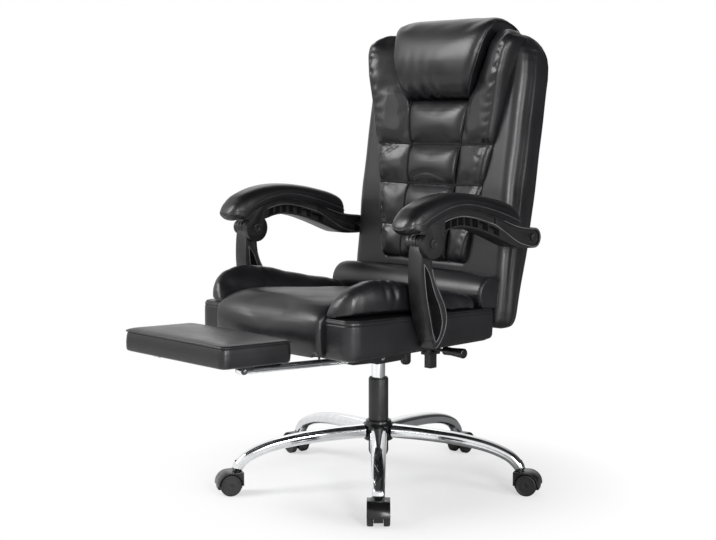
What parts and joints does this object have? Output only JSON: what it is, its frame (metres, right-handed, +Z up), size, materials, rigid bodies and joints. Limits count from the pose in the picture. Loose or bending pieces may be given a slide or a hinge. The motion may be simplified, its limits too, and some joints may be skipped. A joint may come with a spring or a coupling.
{
  "type": "reclining office chair with footrest",
  "caption": "High-back reclining office chair in black leather, with padded arms that follow the back, a pull-out footrest and a chrome star base on twin-wheel casters.",
  "frame": {"origin": "column axis at floor level, centre of the circle of casters", "axes": "+Z up along the column axis, -Y the way the sitter faces, +X to the sitter's left"},
  "size_m": [0.7676, 1.0155, 1.1245],
  "materials": {
    "leather": "semi-gloss",
    "plywood": "raw",
    "lining": "matte",
    "chrome": "polished",
    "steel": "satin",
    "black_steel": "satin",
    "gloss_plastic": "glossy",
    "matte_plastic": "matte"
  },
  "bodies": {
    "base": {"base_legs": "chrome", "base_hub": "gloss_plastic", "column_tube": "black_steel", "guide_bush": "matte_plastic", "thrust_bearing": "steel"},
    "swivel": {"piston_rod": "steel"},
    "lift": {"gas_cylinder": "chrome", "mechanism_housing": "black_steel", "tilt_pin": "steel", "tension_spring": "steel"},
    "valve": {"valve_pin": "steel"},
    "knob": {"tension_knob": "matte_plastic"},
    "height_lever": {"height_lever": "steel", "height_lever_grip": "matte_plastic"},
    "seat": {"tilt_bracket": "black_steel", "seat_bolts": "steel", "seat_board": "lining", "seat_box": "leather", "seat_pad": "leather", "seat_bolster_left": "leather", "seat_bolster_right": "leather", "lumbar_roll": "leather", "footrest_guides": "matte_plastic", "recline_brackets": "black_steel", "recline_hinge_pins": "steel", "lock_housing": "black_steel", "strut_bolts": "black_steel"},
    "recline_lever": {"recline_lever": "black_steel", "recline_lever_grip": "matte_plastic"},
    "back": {"back_bars": "black_steel", "back_board": "plywood", "back_shell": "leather", "back_cushion": "leather", "back_wing_left": "leather", "back_wing_right": "leather", "head_pillow": "leather", "rear_arm_bolts": "black_steel"},
    "strut_left": {"strut_left": "gloss_plastic"},
    "strut_right": {"strut_right": "gloss_plastic"},
    "armrest_left": {"armrest_left": "gloss_plastic", "arm_pad_left": "leather", "arm_pivot_left": "black_steel"},
    "armrest_right": {"armrest_right": "gloss_plastic", "arm_pad_right": "leather", "arm_pivot_right": "black_steel"},
    "footrest_slide": {"footrest_rails": "chrome"},
    "footrest": {"footrest_hinges": "black_steel", "footrest_pins": "steel", "footrest_board": "lining", "footrest_pad": "leather"},
    "caster_1": {"caster_1_hood": "gloss_plastic"},
    "wheels_1": {"caster_1_wheels": "matte_plastic"},
    "caster_2": {"caster_2_hood": "gloss_plastic"},
    "wheels_2": {"caster_2_wheels": "matte_plastic"},
    "caster_3": {"caster_3_hood": "gloss_plastic"},
    "wheels_3": {"caster_3_wheels": "matte_plastic"},
    "caster_4": {"caster_4_hood": "gloss_plastic"},
    "wheels_4": {"caster_4_wheels": "matte_plastic"},
    "caster_5": {"caster_5_hood": "gloss_plastic"},
    "wheels_5": {"caster_5_wheels": "matte_plastic"}
  },
  "joints": [
    {"name": "column_swivel", "type": "hinge", "parent": "base", "child": "swivel", "pos_m": [0, 0, 0], "axis": [0, 0, 1], "continuous": true},
    {"name": "seat_lift", "type": "slide", "parent": "swivel", "child": "lift", "axis": [0, 0, 1], "range_m": [-0.035, 0.045]},
    {"name": "seat_tilt", "type": "hinge", "parent": "lift", "child": "seat", "pos_m": [0, -0.045, 0.326], "axis": [-1, 0, 0], "range_deg": [0, 8], "stiffness_Nm_per_rad": 160, "springref_deg": -20.05, "deforming": ["tension_spring"]},
    {"name": "valve_press", "type": "slide", "parent": "lift", "child": "valve", "axis": [0, 0, 1], "range_m": [-0.0035, 0], "stiffness_N_per_m": 400, "springref_m": 0.001},
    {"name": "tension_knob_turn", "type": "hinge", "parent": "lift", "child": "knob", "pos_m": [0, 0.095, 0], "axis": [0, 0, 1], "continuous": true},
    {"name": "height_lever_lift", "type": "hinge", "parent": "lift", "child": "height_lever", "pos_m": [-0.0345, 0, 0.33304], "axis": [0, 1, 0], "range_deg": [0, 4], "stiffness_Nm_per_rad": 3, "springref_deg": -5.73},
    {"name": "recline_lever_lift", "type": "hinge", "parent": "seat", "child": "recline_lever", "pos_m": [0.104, 0.073, 0.333], "axis": [0, -1, 0], "range_deg": [0, 5], "stiffness_Nm_per_rad": 3, "springref_deg": -5.73},
    {"name": "back_recline", "type": "hinge", "parent": "seat", "child": "back", "pos_m": [0, 0.218, 0.394], "axis": [-1, 0, 0], "range_deg": [0, 35]},
    {"name": "strut_left_swing", "type": "hinge", "parent": "seat", "child": "strut_left", "pos_m": [0, -0.128, 0.402], "axis": [-1, 0, 0], "range_deg": [0, 35]},
    {"name": "armrest_left_level", "type": "hinge", "parent": "back", "child": "armrest_left", "pos_m": [0, 0.2, 0.605], "axis": [-1, 0, 0], "range_deg": [-35, 0]},
    {"name": "strut_right_swing", "type": "hinge", "parent": "seat", "child": "strut_right", "pos_m": [0, -0.128, 0.402], "axis": [-1, 0, 0], "range_deg": [0, 35]},
    {"name": "armrest_right_level", "type": "hinge", "parent": "back", "child": "armrest_right", "pos_m": [0, 0.2, 0.605], "axis": [-1, 0, 0], "range_deg": [-35, 0]},
    {"name": "footrest_pull", "type": "slide", "parent": "seat", "child": "footrest_slide", "axis": [0, 0.9986, -0.0523], "range_m": [0, 0.055]},
    {"name": "footrest_flip", "type": "hinge", "parent": "footrest_slide", "child": "footrest", "pos_m": [0, -0.545, 0.365], "axis": [1, 0, 0], "range_deg": [0, 180]},
    {"name": "caster_1_swivel", "type": "hinge", "parent": "base", "child": "caster_1", "pos_m": [0.24819, -0.24819, 0], "axis": [0, 0, 1], "continuous": true},
    {"name": "caster_1_roll", "type": "hinge", "parent": "caster_1", "child": "wheels_1", "pos_m": [0.26163, -0.26163, 0.0255], "axis": [0.7071, 0.7071, 0], "continuous": true},
    {"name": "caster_2_swivel", "type": "hinge", "parent": "base", "child": "caster_2", "pos_m": [0.31274, 0.15935, 0], "axis": [0, 0, 1], "continuous": true},
    {"name": "caster_2_roll", "type": "hinge", "parent": "caster_2", "child": "wheels_2", "pos_m": [0.32967, 0.16798, 0.0255], "axis": [-0.454, 0.891, 0], "continuous": true},
    {"name": "caster_3_swivel", "type": "hinge", "parent": "base", "child": "caster_3", "pos_m": [-0.05491, 0.34668, 0], "axis": [0, 0, 1], "continuous": true},
    {"name": "caster_3_roll", "type": "hinge", "parent": "caster_3", "child": "wheels_3", "pos_m": [-0.05788, 0.36545, 0.0255], "axis": [-0.9877, -0.1564, 0], "continuous": true},
    {"name": "caster_4_swivel", "type": "hinge", "parent": "base", "child": "caster_4", "pos_m": [-0.34668, 0.05491, 0], "axis": [0, 0, 1], "continuous": true},
    {"name": "caster_4_roll", "type": "hinge", "parent": "caster_4", "child": "wheels_4", "pos_m": [-0.36545, 0.05788, 0.0255], "axis": [-0.1564, -0.9877, 0], "continuous": true},
    {"name": "caster_5_swivel", "type": "hinge", "parent": "base", "child": "caster_5", "pos_m": [-0.15935, -0.31274, 0], "axis": [0, 0, 1], "continuous": true},
    {"name": "caster_5_roll", "type": "hinge", "parent": "caster_5", "child": "wheels_5", "pos_m": [-0.16798, -0.32967, 0.0255], "axis": [0.891, -0.454, 0], "continuous": true}
  ],
  "couplings": [
    {"joint": "valve_press", "follows": "height_lever_lift", "m_per_rad": -0.0385},
    {"joint": "strut_left_swing", "follows": "back_recline", "ratio": 1},
    {"joint": "armrest_left_level", "follows": "back_recline", "ratio": -1},
    {"joint": "strut_right_swing", "follows": "back_recline", "ratio": 1},
    {"joint": "armrest_right_level", "follows": "back_recline", "ratio": -1}
  ]
}
